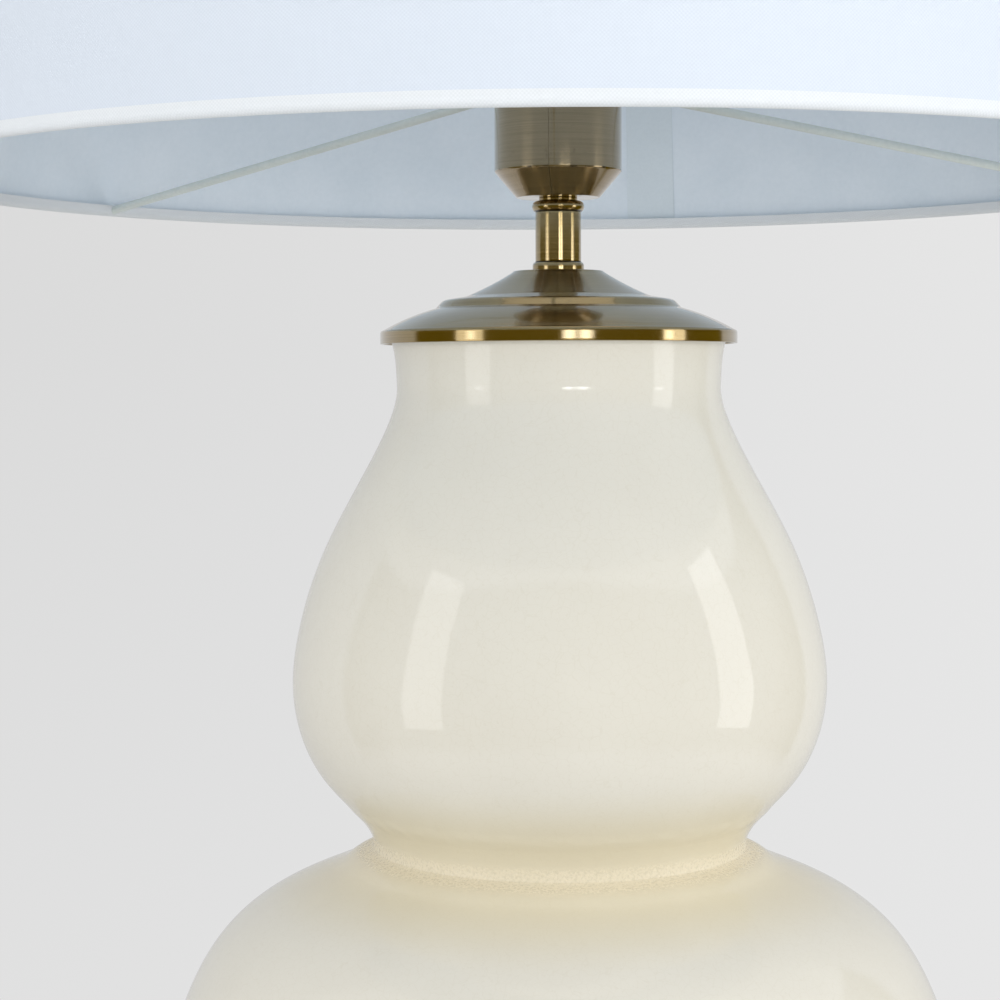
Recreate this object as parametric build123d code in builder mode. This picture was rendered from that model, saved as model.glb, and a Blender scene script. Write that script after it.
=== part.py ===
"""A double gourd table lamp: a hollow glazed vase on a threaded tube, brass fittings and a drum shade.

Millimetres, +Z up. The origin is on the lamp's axis, on the surface that the felt pad stands on.
Outlines are drawn in the XZ plane, where X is the radius, and turned round the lamp's axis.
"""
from build123d import *
import math
import os

# ---------------------------------------------------------------- vase
PAD_THICKNESS = 1.5
PAD_RADIUS = 79.0
FOOT_RADIUS = 80.0
FOOT_RING_WIDTH = 8.0
FOOT_FLARE_RADIUS = 81.5   # where the lower bulb starts above the foot ring
FOOT_EDGE = 1.0            # turned-off lower corner of the foot ring
FOOT_TOP_Z = 14.0          # top of the upright foot ring, and underside of the vase's floor
FLOOR_THICKNESS = 6.0
BELLY_RADIUS = 133.0       # widest part of the lower bulb
BELLY_Z = 98.0
CREASE_RADIUS = 62.0       # where the upper bulb meets the lower one
CREASE_Z = 190.0
CREASE_ROUND = 1.6         # glaze that has pooled in the crease
BULB_RADIUS = 88.9         # widest part of the upper bulb
BULB_Z = 247.0
NECK_RADIUS = 53.8         # narrowest part under the lip
NECK_Z = 346.0
LIP_RADIUS = 55.5
LIP_Z = 360.5
VASE_WALL = 5.5
FLOOR_HOLE_RADIUS = 5.6

# ---------------------------------------------------------------- cord gland in the back of the foot ring
GLAND_Z = 7.4
GLAND_BORE_RADIUS = 3.1
GLAND_TUBE_RADIUS = 4.0
GLAND_HOLE_RADIUS = 4.2
GLAND_FLANGE_RADIUS = 5.0
GLAND_FLANGE_THICKNESS = 1.6
GLAND_LIP_RADIUS = 4.6
GLAND_LIP_LENGTH = 1.6
GLAND_EDGE_ROUND = 0.6

# ---------------------------------------------------------------- threaded tube and its clamp
TUBE_RADIUS = 4.95         # M10 x 1
TUBE_BORE_RADIUS = 3.6
TUBE_BOTTOM_Z = 6.0
TUBE_TOP_Z = 418.0
TUBE_CLEARANCE = 0.25      # plain holes round the threaded tube
NUT_ACROSS_FLATS = 14.0
NUT_THICKNESS = 3.2
LOCK_WASHER_THICKNESS = 0.8
LOCK_WASHER_RADIUS = 8.6
LOCK_WASHER_TEETH = 12
LOCK_WASHER_GAP = (2.2, 1.2)   # length and width of the cut between two teeth
LOCK_WASHER_SLANT = 20
CLAMP_PLATE_RADIUS = 30.0
CLAMP_PLATE_THICKNESS = 1.5
FOOT_GASKET_RADIUS = 27.0
FOOT_GASKET_THICKNESS = 1.5

# ---------------------------------------------------------------- vase cap, of spun brass sheet
CAP_SHEET = 1.0
CAP_RIM_RADIUS = 59.2
CAP_BOTTOM_Z = 357.7
CAP_RIM_TOP_Z = 361.3
CAP_TOP_Z = 381.8
CAP_TOP_RADIUS = 14.8
CAP_GASKET_THICKNESS = 2.0

# ---------------------------------------------------------------- neck between the cap and the lampholder
COLLAR_RADIUS = 8.55
COLLAR_HEIGHT = 3.0
COLLAR_ROUND = 1.1
NECK_TUBE_RADIUS = 7.6
NECK_TUBE_TOP_Z = 401.3
FERRULE_RADIUS = 8.7
FERRULE_TOP_Z = 404.9
FERRULE_NECK_RADIUS = 6.4  # of the recess between the ferrule and the lampholder
HOLDER_BOTTOM_Z = 406.0

# ---------------------------------------------------------------- lampholder
CUP_RADIUS = 21.1
CUP_FOOT_RADIUS = 13.7
CUP_CONE_TOP_Z = 414.6
CUP_TOP_Z = 439.5
CUP_SHEET = 0.8
ENTRY_NUT_THICKNESS = 4.0
THREAD_RADIUS = 19.7       # outside thread for the shade rings
SKIRT_BORE_RADIUS = 16.3
SKIRT_BOTTOM_Z = 418.5
SKIRT_TOP_Z = 468.0
SKIRT_MOUTH_RADIUS = 14.9
SKIRT_LIP = 4.0
SKIRT_ROUND = 0.9
INSERT_RADIUS = 16.1
INSERT_BOTTOM_Z = 421.0
INSERT_FLOOR_Z = 436.0
INSERT_TOP_Z = 463.5
SHELL_BORE_RADIUS = 13.25  # E27
SHELL_SHEET = 0.35
SHELL_BOTTOM_Z = 443.0
SHELL_TOP_Z = 462.5
SIDE_CONTACT_WIDTH = 4.0
SIDE_CONTACT_LENGTH = 5.0
SIDE_CONTACT_SHEET = 0.6
TERMINAL_SPACING = 15.0
TERMINAL_SCREW_RADIUS = 1.75
TERMINAL_SCREW_LENGTH = 5.5
TERMINAL_HEAD_RADIUS = 2.9
TERMINAL_HEAD_HEIGHT = 3.0
TERMINAL_WELL_RADIUS = 3.3
TERMINAL_WELL_DEPTH = 6.0
DRIVER_SLOT_WIDTH = 0.8
DRIVER_SLOT_DEPTH = 1.0
WIRE_SLOT = (6.0, 12.0)    # lets the wires rise from the threaded tube

# ---------------------------------------------------------------- sprung contact at the bottom of the socket
CONTACT_WIDTH = 6.0
CONTACT_SHEET = 0.5
CONTACT_HINGE_X = -6.5
CONTACT_HINGE_Z = 437.1
CONTACT_RISE = 3.9
CONTACT_RUN = 8.5
CONTACT_FLAT = 4.0
CONTACT_TAB_LENGTH = 4.0
CONTACT_TAB_GAP = 0.4
CONTACT_RIVET_RADIUS = 1.2
CONTACT_RIVET_HEIGHT = 0.6

# ---------------------------------------------------------------- rings that hold the shade
RING_OUTER_RADIUS = 22.5
REST_RING_THICKNESS = 1.5
FITTER_THICKNESS = 1.5
FITTER_BORE_RADIUS = 20.1
FITTER_OUTER_RADIUS = 25.5
RING_NUT_THICKNESS = 5.5
RING_NUT_CLEARANCE = 0.08
RING_NUT_NOTCHES = 24
RING_NUT_NOTCH_RADIUS = 0.8

# ---------------------------------------------------------------- shade
SHADE_BOTTOM_Z = 410.1
SHADE_HEIGHT = 279.0
SHADE_BOTTOM_RADIUS = 217.0
SHADE_TOP_RADIUS = 179.0
COVER_THICKNESS = 0.5
LINING_THICKNESS = 0.8
HEM_ROUND = 2.1            # outer radius of the rolled edge
HEM_SHEET = 0.5
HEM_FLAP = 2.0             # how far above the wire the rolled edge runs up the inside
RING_WIRE_RADIUS = 1.5
ARM_WIRE_RADIUS = 1.5
ARM_SLOT_CLEARANCE = 0.3   # between an arm and the rolled edge that it passes through
ARM_NOTCH_TURN = 130.0     # how far round the wire ring the cloth still runs where an arm passes, in degrees
ARM_NOTCH_INSET = 0.08     # and how much thinner it is drawn there on each side
ARM_WELD_DEPTH = 0.8       # how far an arm's centre line runs past the inner edge of the fitter's rim
ARM_AZIMUTHS = (18.0, 144.0, 264.0)   # welded by hand, not quite a third of a turn apart
SEAM_AZIMUTH = 79.5
SEAM_WIDTH = 20.0
SEAM_THICKNESS = 0.3

os.makedirs("parts", exist_ok=True)


def save(piece: Part, label: str) -> None:
    """Labels a finished piece and writes its file."""
    piece.label = label
    export_step(piece, f"parts/{label}.step")


def ring(label: str, inner: float, outer: float, bottom: float, height: float) -> None:
    """A plain flat ring round the lamp's axis."""
    with BuildPart() as flat_ring:
        with BuildSketch(Plane.XY.offset(bottom)):
            Circle(outer)
            Circle(inner, mode=Mode.SUBTRACT)
        extrude(amount=height)
    save(flat_ring.part, label)


def drawn_in(point: tuple, centre_z: float, amount: float) -> tuple:
    """The point moved by amount towards a place on the lamp's axis."""
    reach = math.hypot(point[0], point[1] - centre_z)
    keep = 1 - amount / reach
    return point[0] * keep, centre_z + (point[1] - centre_z) * keep


# ================================================================ foot
with BuildPart() as felt_pad:
    with BuildSketch(Plane.XY):
        Circle(PAD_RADIUS)
    extrude(amount=PAD_THICKNESS)
save(felt_pad.part, "felt_pad")

# ================================================================ vase
# outline points as (radius, z)
belly = [
    (FOOT_FLARE_RADIUS, FOOT_TOP_Z),
    (109.0, 36.0),
    (BELLY_RADIUS, BELLY_Z),
    (127.1, 135.0),
    (115.5, 158.0),
    (91.0, 176.9),
    (72.4, 185.2),
    (CREASE_RADIUS, CREASE_Z),
]
upper_bulb = [
    (CREASE_RADIUS, CREASE_Z),
    (66.2, 200.0),
    (78.8, 214.0),
    (BULB_RADIUS, BULB_Z),
    (87.0, 262.0),
    (78.0, 290.0),
    (64.4, 316.0),
    (55.4, 335.0),
    (NECK_RADIUS, NECK_Z),
    (54.2, 352.5),
    (LIP_RADIUS, LIP_Z - 2.0),
]
belly_inside = [drawn_in(point, BELLY_Z, VASE_WALL) for point in belly[1:]]
bulb_inside = [(radius - VASE_WALL, z) for radius, z in upper_bulb[1:]]

with BuildPart() as ceramic_body:
    with BuildSketch(Plane.XZ) as vase_section:
        with BuildLine():
            foot_inner = FOOT_RADIUS - FOOT_RING_WIDTH
            floor_top = FOOT_TOP_Z + FLOOR_THICKNESS
            Polyline(belly[0], (FOOT_RADIUS, FOOT_TOP_Z - 1.5), (FOOT_RADIUS, PAD_THICKNESS + FOOT_EDGE),
                     (FOOT_RADIUS - FOOT_EDGE, PAD_THICKNESS), (foot_inner, PAD_THICKNESS),
                     (foot_inner, FOOT_TOP_Z), (FLOOR_HOLE_RADIUS, FOOT_TOP_Z),
                     (FLOOR_HOLE_RADIUS, floor_top))
            Spline(*belly, tangents=[(1.0, 0.55), (-1.0, 0.28)])
            Spline(*upper_bulb, tangents=[(0.05, 1.0), (0.30, 1.0)])
            lip_inner = bulb_inside[-1]
            crease_inside = (CREASE_RADIUS - VASE_WALL, CREASE_Z - 2.0)
            floor_corner = (FOOT_RADIUS - 12.0, floor_top)
            ThreePointArc(upper_bulb[-1], (LIP_RADIUS - VASE_WALL / 2, LIP_Z), lip_inner)
            Spline(*reversed(bulb_inside), crease_inside)
            Line(crease_inside, belly_inside[-1])
            Spline(*reversed(belly_inside), (floor_corner[0] + 8.0, floor_top + 2.0), floor_corner)
            Line(floor_corner, (FLOOR_HOLE_RADIUS, floor_top))
        make_face()
        crease = vase_section.vertices().sort_by_distance((CREASE_RADIUS, CREASE_Z))[0]
        fillet(crease, CREASE_ROUND)
    revolve(axis=Axis.Z)
    with BuildSketch(Plane.XZ.offset(-(FOOT_RADIUS - 2 * FOOT_RING_WIDTH))):
        with Locations((0, GLAND_Z)):
            Circle(GLAND_HOLE_RADIUS)
    extrude(amount=-3 * FOOT_RING_WIDTH, mode=Mode.SUBTRACT)
save(ceramic_body.part, "ceramic_body")

# ================================================================ cord gland, open right through along Y
with BuildPart() as cord_gland:
    wall_inside = math.sqrt((FOOT_RADIUS - FOOT_RING_WIDTH) ** 2 - GLAND_LIP_RADIUS ** 2) - 0.1
    for start, length, radius in (
        (wall_inside - GLAND_LIP_LENGTH, GLAND_LIP_LENGTH, GLAND_LIP_RADIUS),
        (wall_inside, FOOT_RADIUS - wall_inside, GLAND_TUBE_RADIUS),
        (FOOT_RADIUS, GLAND_FLANGE_THICKNESS, GLAND_FLANGE_RADIUS),
    ):
        with BuildSketch(Plane.XZ.offset(-start)):
            with Locations((0, GLAND_Z)):
                Circle(radius)
                Circle(GLAND_BORE_RADIUS, mode=Mode.SUBTRACT)
        extrude(amount=-length)
    flange_edges = cord_gland.edges().filter_by(GeomType.CIRCLE).group_by(Axis.Y)[-1]
    fillet(flange_edges.sort_by(SortBy.RADIUS)[-1], GLAND_EDGE_ROUND)
save(cord_gland.part, "cord_gland")

# ================================================================ threaded tube and its clamp under the vase
with BuildPart() as threaded_tube:
    with BuildSketch(Plane.XY.offset(TUBE_BOTTOM_Z)):
        Circle(TUBE_RADIUS)
        Circle(TUBE_BORE_RADIUS, mode=Mode.SUBTRACT)
    extrude(amount=TUBE_TOP_Z - TUBE_BOTTOM_Z)
    chamfer(threaded_tube.edges().filter_by(GeomType.CIRCLE).sort_by(SortBy.RADIUS)[-2:], 0.5)
save(threaded_tube.part, "threaded_tube")

gasket_bottom = FOOT_TOP_Z - FOOT_GASKET_THICKNESS
plate_bottom = gasket_bottom - CLAMP_PLATE_THICKNESS
washer_bottom = plate_bottom - LOCK_WASHER_THICKNESS
nut_bottom = washer_bottom - NUT_THICKNESS
ring("foot_gasket", TUBE_RADIUS + TUBE_CLEARANCE, FOOT_GASKET_RADIUS, gasket_bottom, FOOT_GASKET_THICKNESS)
ring("clamp_plate", TUBE_RADIUS + TUBE_CLEARANCE, CLAMP_PLATE_RADIUS, plate_bottom, CLAMP_PLATE_THICKNESS)

with BuildPart() as lock_washer:
    with BuildSketch(Plane.XY.offset(washer_bottom)):
        Circle(LOCK_WASHER_RADIUS)
        Circle(TUBE_RADIUS + TUBE_CLEARANCE, mode=Mode.SUBTRACT)
        with PolarLocations(LOCK_WASHER_RADIUS, LOCK_WASHER_TEETH):
            Rectangle(*LOCK_WASHER_GAP, rotation=LOCK_WASHER_SLANT, mode=Mode.SUBTRACT)
    extrude(amount=LOCK_WASHER_THICKNESS)
save(lock_washer.part, "lock_washer")


def hex_nut(label: str, bottom: float, thickness: float) -> None:
    """A six-sided nut on the threaded tube, with its top and bottom corners turned off."""
    with BuildPart() as nut:
        with BuildSketch(Plane.XY.offset(bottom)):
            RegularPolygon(NUT_ACROSS_FLATS / 2, 6, major_radius=False)
            Circle(TUBE_RADIUS, mode=Mode.SUBTRACT)
        extrude(amount=thickness)
        corner_radius = NUT_ACROSS_FLATS / math.sqrt(3)
        with BuildSketch(Plane.XZ):
            with BuildLine():
                Polyline((0, bottom), (corner_radius - 0.7, bottom), (corner_radius, bottom + 0.5),
                         (corner_radius, bottom + thickness - 0.5), (corner_radius - 0.7, bottom + thickness),
                         (0, bottom + thickness), close=True)
            make_face()
        revolve(axis=Axis.Z, mode=Mode.INTERSECT)
    save(nut.part, label)


hex_nut("foot_nut", nut_bottom, NUT_THICKNESS)

# ================================================================ vase cap and the soft ring that it sits on
with BuildPart() as cap_gasket:
    with BuildSketch(Plane.XY.offset(LIP_Z)):
        Circle(LIP_RADIUS - 1.0)
        Circle(LIP_RADIUS - VASE_WALL - 1.0, mode=Mode.SUBTRACT)
    extrude(amount=CAP_GASKET_THICKNESS)
save(cap_gasket.part, "cap_gasket")

with BuildPart() as vase_cap:
    with BuildSketch(Plane.XZ):
        with BuildLine():
            Line((CAP_RIM_RADIUS, CAP_BOTTOM_Z), (CAP_RIM_RADIUS, CAP_RIM_TOP_Z))
            RadiusArc((CAP_RIM_RADIUS, CAP_RIM_TOP_Z), (CAP_RIM_RADIUS - 0.9, CAP_RIM_TOP_Z + 0.9), -0.9)
            ThreePointArc((CAP_RIM_RADIUS - 0.9, CAP_RIM_TOP_Z + 0.9), (49.6, 366.5), (40.8, 369.5))
            Line((40.8, 369.5), (39.2, 371.3))
            ThreePointArc((39.2, 371.3), (38.3, 372.0), (37.2, 372.3))
            Line((37.2, 372.3), (30.8, 373.4))
            ThreePointArc((30.8, 373.4), (22.6, 377.2), (CAP_TOP_RADIUS + 0.6, CAP_TOP_Z - 0.5))
            Line((CAP_TOP_RADIUS + 0.6, CAP_TOP_Z - 0.5), (CAP_TOP_RADIUS, CAP_TOP_Z))
            Line((CAP_TOP_RADIUS, CAP_TOP_Z), (TUBE_RADIUS + TUBE_CLEARANCE, CAP_TOP_Z))
            offset(amount=CAP_SHEET, side=Side.LEFT, closed=True)
        make_face()
    revolve(axis=Axis.Z)
save(vase_cap.part, "vase_cap")

# ================================================================ neck
with BuildPart() as neck_collar:
    with BuildSketch(Plane.XY.offset(CAP_TOP_Z)):
        Circle(COLLAR_RADIUS)
        Circle(TUBE_RADIUS + TUBE_CLEARANCE, mode=Mode.SUBTRACT)
    extrude(amount=COLLAR_HEIGHT)
    collar_edges = neck_collar.edges().filter_by(GeomType.CIRCLE).group_by(Axis.Z)[-1]
    fillet(collar_edges.sort_by(SortBy.RADIUS)[-1], COLLAR_ROUND)
save(neck_collar.part, "neck_collar")

with BuildPart() as neck_tube:
    with BuildSketch(Plane.XY.offset(CAP_TOP_Z + COLLAR_HEIGHT)):
        Circle(NECK_TUBE_RADIUS)
        Circle(TUBE_RADIUS + TUBE_CLEARANCE, mode=Mode.SUBTRACT)
    extrude(amount=NECK_TUBE_TOP_Z - CAP_TOP_Z - COLLAR_HEIGHT)
save(neck_tube.part, "neck_tube")

with BuildPart() as neck_ferrule:
    with BuildSketch(Plane.XZ):
        with BuildLine():
            inner = TUBE_RADIUS + TUBE_CLEARANCE
            Polyline((NECK_TUBE_RADIUS, NECK_TUBE_TOP_Z), (inner, NECK_TUBE_TOP_Z), (inner, HOLDER_BOTTOM_Z),
                     (FERRULE_NECK_RADIUS, HOLDER_BOTTOM_Z), (FERRULE_NECK_RADIUS, FERRULE_TOP_Z),
                     (NECK_TUBE_RADIUS, FERRULE_TOP_Z))
            middle = (NECK_TUBE_TOP_Z + FERRULE_TOP_Z) / 2
            ThreePointArc((NECK_TUBE_RADIUS, NECK_TUBE_TOP_Z), (FERRULE_RADIUS, middle),
                          (NECK_TUBE_RADIUS, FERRULE_TOP_Z))
        make_face()
    revolve(axis=Axis.Z)
save(neck_ferrule.part, "neck_ferrule")

# ================================================================ lampholder
with BuildPart() as holder_cup:
    with BuildSketch(Plane.XZ):
        with BuildLine():
            hole = TUBE_RADIUS + TUBE_CLEARANCE
            Polyline((hole, HOLDER_BOTTOM_Z), (CUP_FOOT_RADIUS, HOLDER_BOTTOM_Z),
                     (CUP_RADIUS, CUP_CONE_TOP_Z), (CUP_RADIUS, CUP_TOP_Z))
            offset(amount=CUP_SHEET, side=Side.LEFT, closed=True)
        make_face()
    revolve(axis=Axis.Z)
save(holder_cup.part, "holder_cup")

hex_nut("entry_nut", HOLDER_BOTTOM_Z + CUP_SHEET, ENTRY_NUT_THICKNESS)

with BuildPart() as holder_skirt:
    with BuildSketch(Plane.XY.offset(SKIRT_BOTTOM_Z)):
        Circle(THREAD_RADIUS)
        Circle(SKIRT_BORE_RADIUS, mode=Mode.SUBTRACT)
    extrude(amount=SKIRT_TOP_Z - SKIRT_BOTTOM_Z)
    with BuildSketch(Plane.XY.offset(SKIRT_TOP_Z - SKIRT_LIP)):
        Circle(SKIRT_BORE_RADIUS)
        Circle(SKIRT_MOUTH_RADIUS, mode=Mode.SUBTRACT)
    extrude(amount=SKIRT_LIP)
    top_edges = holder_skirt.edges().filter_by(GeomType.CIRCLE).group_by(Axis.Z)[-1]
    fillet(top_edges, SKIRT_ROUND)
save(holder_skirt.part, "holder_skirt")

with BuildPart() as socket_insert:
    with BuildSketch(Plane.XY.offset(INSERT_BOTTOM_Z)):
        Circle(INSERT_RADIUS)
    extrude(amount=INSERT_TOP_Z - INSERT_BOTTOM_Z)
    with BuildSketch(Plane.XY.offset(INSERT_FLOOR_Z)):
        Circle(SHELL_BORE_RADIUS + SHELL_SHEET)
    extrude(amount=INSERT_TOP_Z - INSERT_FLOOR_Z, mode=Mode.SUBTRACT)
    # wells for the two terminal screws
    with BuildSketch(Plane.XY.offset(INSERT_BOTTOM_Z)):
        with GridLocations(TERMINAL_SPACING, 0, 2, 1):
            Circle(TERMINAL_WELL_RADIUS)
        Rectangle(*WIRE_SLOT)
    extrude(amount=TERMINAL_WELL_DEPTH, mode=Mode.SUBTRACT)
    with BuildSketch(Plane.XY.offset(INSERT_BOTTOM_Z)):
        with GridLocations(TERMINAL_SPACING, 0, 2, 1):
            Circle(TERMINAL_SCREW_RADIUS)
    extrude(amount=TERMINAL_WELL_DEPTH + TERMINAL_SCREW_LENGTH, mode=Mode.SUBTRACT)
save(socket_insert.part, "socket_insert")

with BuildPart() as terminal_screws:
    head_top = INSERT_BOTTOM_Z + TERMINAL_WELL_DEPTH
    head_bottom = head_top - TERMINAL_HEAD_HEIGHT
    with BuildSketch(Plane.XY.offset(head_bottom)):
        with GridLocations(TERMINAL_SPACING, 0, 2, 1):
            Circle(TERMINAL_HEAD_RADIUS)
    extrude(amount=TERMINAL_HEAD_HEIGHT)
    with BuildSketch(Plane.XY.offset(head_top)):
        with GridLocations(TERMINAL_SPACING, 0, 2, 1):
            Circle(TERMINAL_SCREW_RADIUS)
    extrude(amount=TERMINAL_SCREW_LENGTH)
    with BuildSketch(Plane.XY.offset(head_bottom)):
        with GridLocations(TERMINAL_SPACING, 0, 2, 1):
            Rectangle(DRIVER_SLOT_WIDTH, 2 * TERMINAL_HEAD_RADIUS)
    extrude(amount=DRIVER_SLOT_DEPTH, mode=Mode.SUBTRACT)
save(terminal_screws.part, "terminal_screws")

shell_height = SHELL_TOP_Z - SHELL_BOTTOM_Z
ring("screw_shell", SHELL_BORE_RADIUS, SHELL_BORE_RADIUS + SHELL_SHEET, SHELL_BOTTOM_Z, shell_height)

with BuildPart() as side_contact:
    with BuildSketch(Plane.XY.offset(INSERT_FLOOR_Z)):
        with Locations((SHELL_BORE_RADIUS - SIDE_CONTACT_LENGTH / 2, 0)):
            Rectangle(SIDE_CONTACT_LENGTH, SIDE_CONTACT_WIDTH)
    extrude(amount=SIDE_CONTACT_SHEET)
    with BuildSketch(Plane.XY.offset(INSERT_FLOOR_Z)):
        with Locations((SHELL_BORE_RADIUS - SIDE_CONTACT_SHEET / 2, 0)):
            Rectangle(SIDE_CONTACT_SHEET, SIDE_CONTACT_WIDTH)
    extrude(amount=SHELL_BOTTOM_Z - INSERT_FLOOR_Z)
save(side_contact.part, "side_contact")

# ================================================================ centre contact: a tab and a sprung tongue
with BuildPart() as contact_tab:
    tab_middle = (CONTACT_HINGE_X - CONTACT_TAB_GAP - CONTACT_TAB_LENGTH / 2, 0)
    with BuildSketch(Plane.XY.offset(INSERT_FLOOR_Z)):
        with Locations(tab_middle):
            Rectangle(CONTACT_TAB_LENGTH, CONTACT_WIDTH)
    extrude(amount=CONTACT_SHEET)
    with BuildSketch(Plane.XY.offset(INSERT_FLOOR_Z + CONTACT_SHEET)):
        with Locations(tab_middle):
            Circle(CONTACT_RIVET_RADIUS)
    extrude(amount=CONTACT_RIVET_HEIGHT)
save(contact_tab.part, "contact_tab")

with BuildPart() as contact_tongue:
    with BuildSketch(Plane.XZ.offset(-CONTACT_WIDTH / 2)):
        with BuildLine():
            bend = (CONTACT_HINGE_X + CONTACT_RUN, CONTACT_HINGE_Z + CONTACT_RISE)
            Polyline((CONTACT_HINGE_X, CONTACT_HINGE_Z), bend, (bend[0] + CONTACT_FLAT, bend[1]))
            offset(amount=CONTACT_SHEET, side=Side.LEFT, closed=True)
        make_face()
    extrude(amount=CONTACT_WIDTH)
save(contact_tongue.part, "contact_tongue")

# ================================================================ rings that hold the shade on the lampholder
ring("shade_rest_ring", THREAD_RADIUS, RING_OUTER_RADIUS, CUP_TOP_Z, REST_RING_THICKNESS)

fitter_bottom = CUP_TOP_Z + REST_RING_THICKNESS
fitter_middle = fitter_bottom + FITTER_THICKNESS / 2
ring("shade_fitter", FITTER_BORE_RADIUS, FITTER_OUTER_RADIUS, fitter_bottom, FITTER_THICKNESS)

with BuildPart() as shade_ring_nut:
    with BuildSketch(Plane.XY.offset(fitter_bottom + FITTER_THICKNESS)):
        Circle(RING_OUTER_RADIUS)
        Circle(THREAD_RADIUS + RING_NUT_CLEARANCE, mode=Mode.SUBTRACT)
        with PolarLocations(RING_OUTER_RADIUS, RING_NUT_NOTCHES):
            Circle(RING_NUT_NOTCH_RADIUS, mode=Mode.SUBTRACT)
    extrude(amount=RING_NUT_THICKNESS)
save(shade_ring_nut.part, "shade_ring_nut")

# ================================================================ shade
SHADE_TOP_Z = SHADE_BOTTOM_Z + SHADE_HEIGHT
TAPER = (SHADE_BOTTOM_RADIUS - SHADE_TOP_RADIUS) / SHADE_HEIGHT


def shade_radius(z: float) -> float:
    """Radius of the shade's outer surface at that height."""
    return SHADE_BOTTOM_RADIUS - (z - SHADE_BOTTOM_Z) * TAPER


def shade_wall(label: str, depth: float, thickness: float, turn: float = 360.0, start: float = 0.0) -> None:
    """A sheet of the shade's wall, between the two rolled edges, that lies depth below its outer surface."""
    low = SHADE_BOTTOM_Z + 2 * HEM_ROUND
    high = SHADE_TOP_Z - 2 * HEM_ROUND
    with BuildPart() as wall:
        with BuildSketch(Plane.XZ.rotated((0, 0, start))):
            with BuildLine():
                Polyline((shade_radius(low) - depth, low), (shade_radius(high) - depth, high),
                         (shade_radius(high) - depth - thickness, high),
                         (shade_radius(low) - depth - thickness, low), close=True)
            make_face()
        revolve(axis=Axis.Z, revolution_arc=turn)
    save(wall.part, label)


shade_wall("shade_cover", 0.0, COVER_THICKNESS)
shade_wall("shade_lining", COVER_THICKNESS, LINING_THICKNESS)
seam_turn = math.degrees(SEAM_WIDTH / SHADE_BOTTOM_RADIUS)
shade_wall("shade_seam_tape", COVER_THICKNESS + LINING_THICKNESS, SEAM_THICKNESS, seam_turn,
           SEAM_AZIMUTH - seam_turn / 2)


def ring_wire_centre(end_z: float, inward: int) -> tuple:
    """Where the wire ring's section lies in the rolled edge; inward is 1 at the bottom and -1 at the top."""
    z = end_z + inward * HEM_ROUND
    return shade_radius(z) - HEM_ROUND, z


def wire_ring(label: str, centre: tuple) -> None:
    """The stiffening wire inside a rolled edge."""
    with BuildPart() as wire:
        with BuildSketch(Plane.XZ):
            with Locations(centre):
                Circle(RING_WIRE_RADIUS)
        revolve(axis=Axis.Z)
    save(wire.part, label)


def arm_path(azimuth: float) -> tuple:
    """The two ends of an arm's centre line: on the bottom wire ring and in the fitter."""
    radius, z = ring_wire_centre(SHADE_BOTTOM_Z, 1)
    turn = math.radians(azimuth)
    outer = (radius * math.cos(turn), radius * math.sin(turn), z)
    inner_radius = RING_OUTER_RADIUS + ARM_WELD_DEPTH
    inner_end = (inner_radius * math.cos(turn), inner_radius * math.sin(turn), fitter_middle)
    return outer, inner_end


def arm_rod(azimuth: float, radius: float) -> Part:
    """A straight round rod along an arm's centre line."""
    start, end = arm_path(azimuth)
    run = Vector(end) - Vector(start)
    with BuildPart() as rod:
        with BuildSketch(Plane(origin=start, z_dir=run)):
            Circle(radius)
        extrude(amount=run.length)
    return rod.part


def edge_outline(radius: float, z: float, inward: int, inset: float, turn_end: float, flap: float) -> Wire:
    """Outline of the rolled cloth: from the cover's edge, round the wire ring, and up a flap inside."""
    outer, inner = HEM_ROUND - inset, HEM_ROUND - HEM_SHEET + inset
    lap = HEM_ROUND - inset
    lap_z, lap_lean = z + inward * lap, inward * lap * TAPER

    def on_arc(reach: float, degrees: float) -> tuple:
        angle = math.radians(degrees)
        return radius + reach * math.cos(angle), z - inward * reach * math.sin(angle)

    with BuildLine() as outline:
        ThreePointArc(on_arc(outer, 0), on_arc(outer, turn_end / 2), on_arc(outer, turn_end))
        if flap:
            lean = -inward * flap * TAPER
            Polyline(on_arc(outer, turn_end), (radius - outer + lean, z + inward * flap),
                     (radius - inner + lean, z + inward * flap), on_arc(inner, turn_end))
        else:
            Line(on_arc(outer, turn_end), on_arc(inner, turn_end))
        ThreePointArc(on_arc(inner, turn_end), on_arc(inner, turn_end / 2), on_arc(inner, 0))
        Polyline(on_arc(inner, 0), (radius + inner - lap_lean, lap_z),
                 (radius + outer - lap_lean, lap_z), on_arc(outer, 0))
    return outline.wire()


def turned(outline: Wire, start: float, arc: float) -> Part:
    """The outline turned round the lamp's axis by an arc in degrees, from a start azimuth."""
    with BuildPart() as strip:
        with BuildSketch(Plane.XZ.rotated((0, 0, start))):
            with BuildLine():
                add(outline)
            make_face()
        revolve(axis=Axis.Z, revolution_arc=arc)
    return strip.part


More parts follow.
